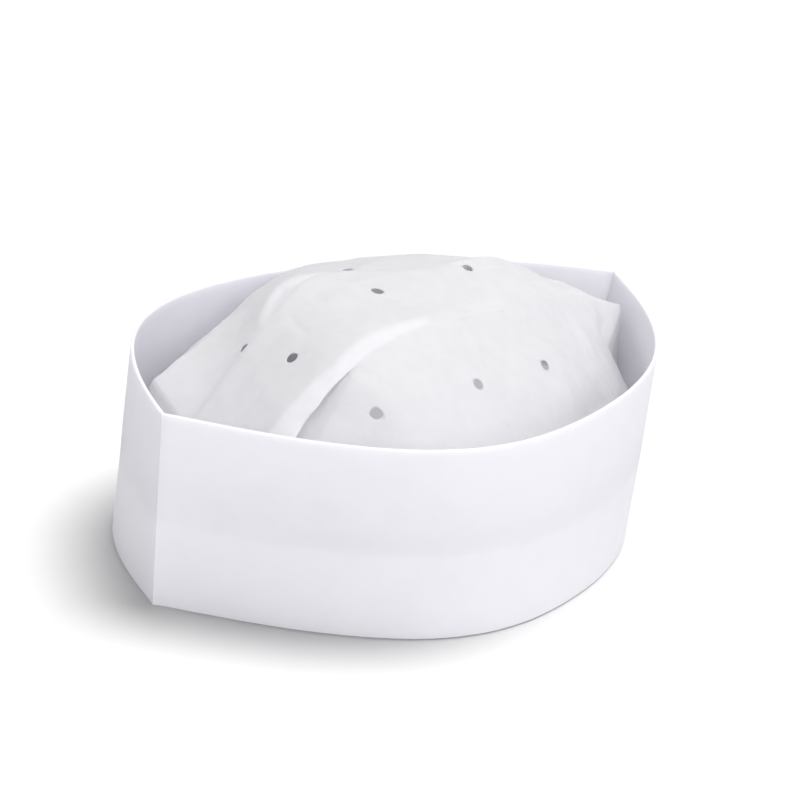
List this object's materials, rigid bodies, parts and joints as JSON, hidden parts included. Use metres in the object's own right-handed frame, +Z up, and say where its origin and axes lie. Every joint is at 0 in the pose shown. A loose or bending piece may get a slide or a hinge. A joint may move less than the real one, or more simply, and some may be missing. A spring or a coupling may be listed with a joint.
{
  "type": "paper soda jerk hat",
  "caption": "Folding paper cap: a creased band of doubled paper with a pleated, perforated tissue crown set inside it, open below for the head.",
  "frame": {"origin": "under the middle of the cap, at the height of the band's bottom edge", "axes": "+Z up, X along the long axis between the two creases, -Y the near side that the crown's folds fall towards"},
  "size_m": [0.229, 0.1514, 0.0906],
  "materials": {
    "band_paper": "matt smooth paper",
    "crown_tissue": "matt crinkled tissue"
  },
  "bodies": {
    "root": {"band": "band_paper", "crown": "crown_tissue"}
  },
  "joints": []
}
